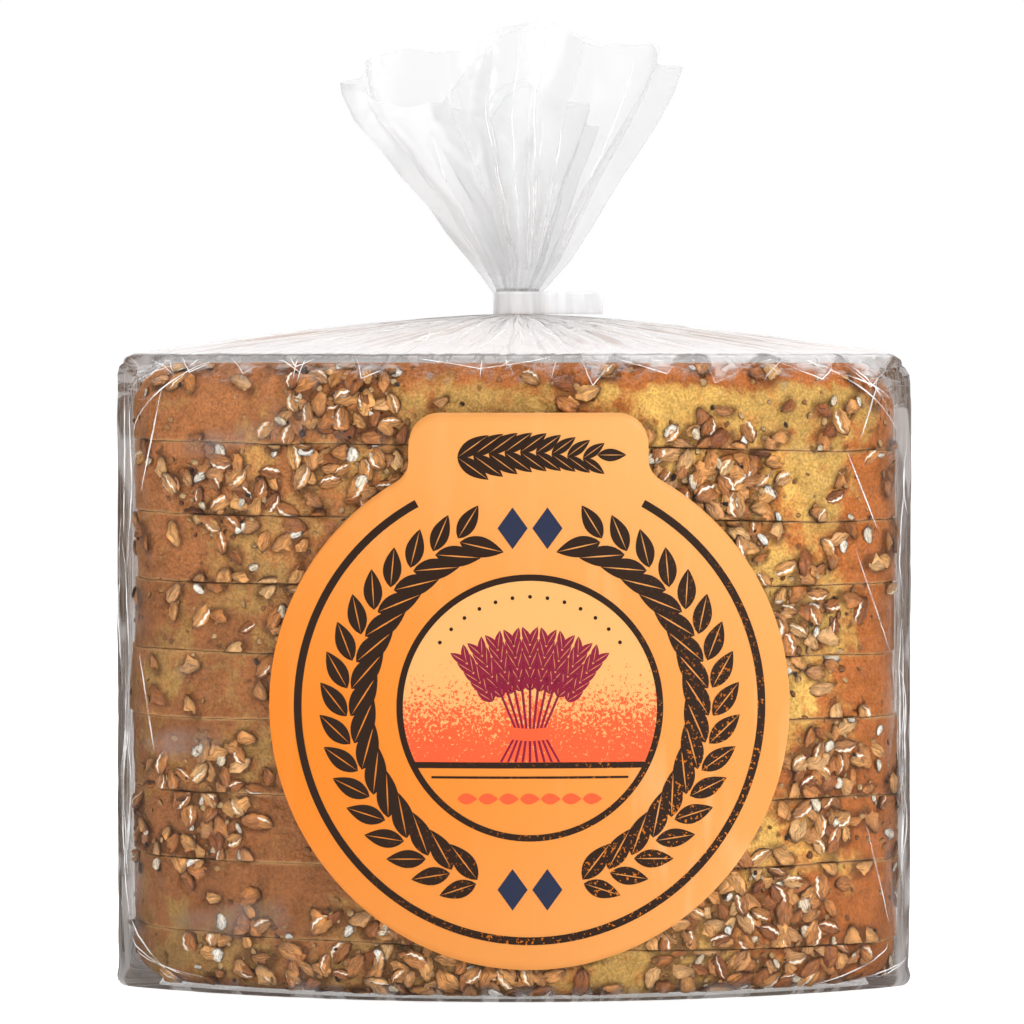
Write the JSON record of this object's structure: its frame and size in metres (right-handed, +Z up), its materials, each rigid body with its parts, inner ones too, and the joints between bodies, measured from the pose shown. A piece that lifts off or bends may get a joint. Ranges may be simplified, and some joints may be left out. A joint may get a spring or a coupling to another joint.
{
  "type": "loaf in bread bag",
  "caption": "Small sliced seeded wholegrain loaf standing on its end in a clear bag, with a taped neck, a flared loose end and a round paper label.",
  "frame": {"origin": "middle of the base that the pack stands on, at the centre of its bounding box", "axes": "+Z up through the neck, the labelled front faces -Y, +X to the right seen from the front"},
  "size_m": [0.1412, 0.1158, 0.1744],
  "materials": {
    "clear_film": "thin clear bag film, glossy, creased and slack at the corners, whitish where it is gathered",
    "bread_crust": "baked wholegrain crust, golden to red-brown, with kernels, oat flakes and black seeds",
    "tape": "milky clear adhesive tape, stuck to itself in a flag",
    "label_paper": "coated paper printed orange with dark rings and plain ornaments"
  },
  "bodies": {
    "root": {"sealed_bag": "clear_film", "neck_tape": "tape", "label": "label_paper"}
  },
  "joints": []
}
